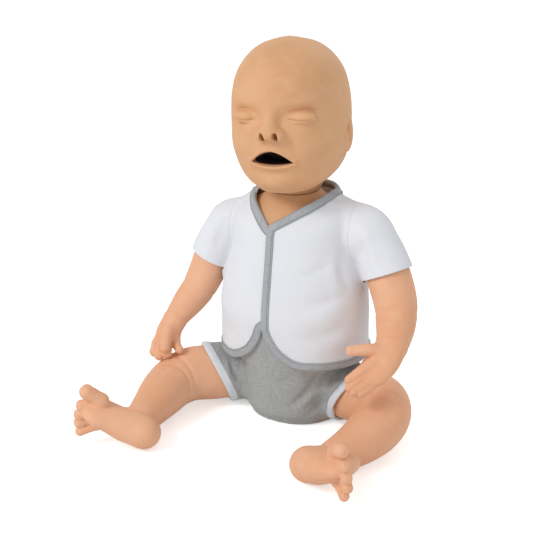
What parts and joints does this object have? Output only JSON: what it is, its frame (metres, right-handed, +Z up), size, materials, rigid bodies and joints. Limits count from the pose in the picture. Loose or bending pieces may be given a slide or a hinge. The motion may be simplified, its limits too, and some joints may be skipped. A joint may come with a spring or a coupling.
{
  "type": "cpr training manikin",
  "caption": "Seated infant resuscitation manikin with a soft skin, open mouth, tilting head, sprung chest plate, swinging limbs, wrap-front vest and knit shorts.",
  "frame": {"origin": "middle of the flat patch under the shorts that the manikin sits on", "axes": "+Z up, the manikin faces -Y, its own left side is +X"},
  "size_m": [0.2939, 0.2389, 0.3804],
  "materials": {
    "body_vinyl": "soft matt vinyl",
    "hard_plastic": "moulded",
    "steel": "plain",
    "bag_film": "thin film",
    "face_vinyl": "soft matt vinyl",
    "neck_plastic": "moulded",
    "mouth_plastic": "moulded",
    "hose_rubber": "clear tube",
    "limb_vinyl": "soft matt vinyl",
    "white_knit": "knitted cotton",
    "grey_knit": "knitted cotton",
    "white_binding": "bias tape",
    "grey_binding": "bias tape"
  },
  "bodies": {
    "trunk": {"trunk_shell": "hard_plastic", "trunk_skin": "body_vinyl", "neck_post": "hard_plastic", "spring_guide": "hard_plastic", "guide_screws": "steel", "click_disc": "steel", "chest_spring": "steel", "air_hose": "hose_rubber", "vest_back": "white_knit", "vest_front_right": "white_knit", "vest_front_left": "white_knit", "vest_binding": "grey_binding", "shorts_body": "grey_knit", "shoulder_plug_right": "hard_plastic", "hip_plug_right": "hard_plastic", "shoulder_plug_left": "hard_plastic", "hip_plug_left": "hard_plastic"},
    "chest": {"chest_plate": "hard_plastic", "lung_bag": "bag_film"},
    "neck": {"neck_ball": "neck_plastic", "neck_pins": "steel"},
    "head": {"head_skin": "face_vinyl", "skull_front": "hard_plastic", "skull_back": "hard_plastic", "skull_screws": "steel", "mouth_liner": "mouth_plastic"},
    "arm_right": {"arm_right": "limb_vinyl", "sleeve_right": "white_knit"},
    "leg_right": {"leg_right": "limb_vinyl", "shorts_leg_right": "grey_knit", "shorts_hem_right": "white_binding"},
    "arm_left": {"arm_left": "limb_vinyl", "sleeve_left": "white_knit"},
    "leg_left": {"leg_left": "limb_vinyl", "shorts_leg_left": "grey_knit", "shorts_hem_left": "white_binding"}
  },
  "joints": [
    {"name": "chest_compression", "type": "slide", "parent": "trunk", "child": "chest", "axis": [0, 1, 0], "range_m": [0, 0.036], "stiffness_N_per_m": 2500, "deforming": ["chest_spring", "click_disc", "trunk_skin", "vest_front_right", "vest_front_left", "vest_binding"]},
    {"name": "head_turn", "type": "hinge", "parent": "trunk", "child": "neck", "pos_m": [0, -0.004, 0.254], "axis": [0, 0, 1], "range_deg": [-69, 51]},
    {"name": "head_tilt", "type": "hinge", "parent": "neck", "child": "head", "pos_m": [0, -0.004, 0.254], "axis": [-0.9877, -0.1564, 0], "range_deg": [-10, 30], "deforming": ["air_hose"]},
    {"name": "shoulder_right", "type": "hinge", "parent": "trunk", "child": "arm_right", "pos_m": [-0.0649, 0.002, 0.198], "axis": [-1, 0, 0], "range_deg": [0, 150]},
    {"name": "hip_right", "type": "hinge", "parent": "trunk", "child": "leg_right", "pos_m": [-0.0506, 0.003, 0.0308], "axis": [1, 0, 0], "range_deg": [0, 80]},
    {"name": "shoulder_left", "type": "hinge", "parent": "trunk", "child": "arm_left", "pos_m": [0.0649, 0.002, 0.206], "axis": [-1, 0, 0], "range_deg": [-10, 150]},
    {"name": "hip_left", "type": "hinge", "parent": "trunk", "child": "leg_left", "pos_m": [0.0506, 0.003, 0.0308], "axis": [1, 0, 0], "range_deg": [0, 80]}
  ]
}
